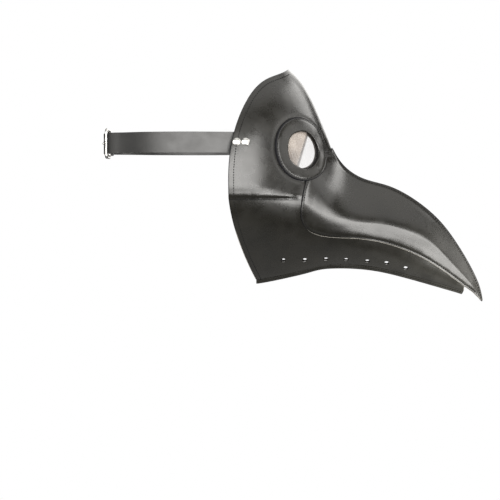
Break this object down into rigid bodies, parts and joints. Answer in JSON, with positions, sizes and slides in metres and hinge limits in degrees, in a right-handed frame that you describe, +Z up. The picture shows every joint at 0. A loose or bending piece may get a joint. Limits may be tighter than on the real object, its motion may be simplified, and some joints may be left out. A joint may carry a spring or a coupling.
{
  "type": "plague doctor mask",
  "caption": "Sewn leather bird-beak face mask with round eye windows, vent holes along the jaw and a buckled head strap.",
  "frame": {"origin": "middle of the face opening, at the wearer's mid-plane", "axes": "+X is where the beak points, +Y is the wearer's left, +Z is up"},
  "size_m": [0.3795, 0.1594, 0.2296],
  "materials": {
    "leather": "smooth semi-matt black artificial leather",
    "strap_leather": "matt black artificial leather",
    "lens": "clear flexible plastic sheet",
    "hardware": "polished nickel plate"
  },
  "bodies": {
    "mask": {"face_panel": "leather", "beak_panel_right": "leather", "beak_panel_left": "leather", "jaw_panel_right": "leather", "jaw_panel_left": "leather", "eye_ring_right": "leather", "eye_ring_left": "leather", "lens_right": "lens", "lens_left": "lens", "lens_backing_right": "leather", "lens_backing_left": "leather", "rivets_right": "hardware", "rivets_left": "hardware", "buckled_strap": "strap_leather", "free_strap": "strap_leather"},
    "buckle": {"buckle_frame": "hardware"},
    "prong": {"buckle_prong": "hardware"},
    "keeper": {"keeper": "strap_leather"}
  },
  "joints": [
    {"name": "buckle_turn", "type": "hinge", "parent": "mask", "child": "buckle", "pos_m": [-0.131, 0, 0.034], "axis": [0, 0, -1], "range_deg": [0, 8]},
    {"name": "prong_lift", "type": "hinge", "parent": "buckle", "child": "prong", "pos_m": [-0.131, 0, 0.034], "axis": [0, 0, -1], "range_deg": [0, 25]},
    {"name": "keeper_slide", "type": "slide", "parent": "mask", "child": "keeper", "axis": [0, 1, 0], "range_m": [-0.0015, 0.004]}
  ]
}
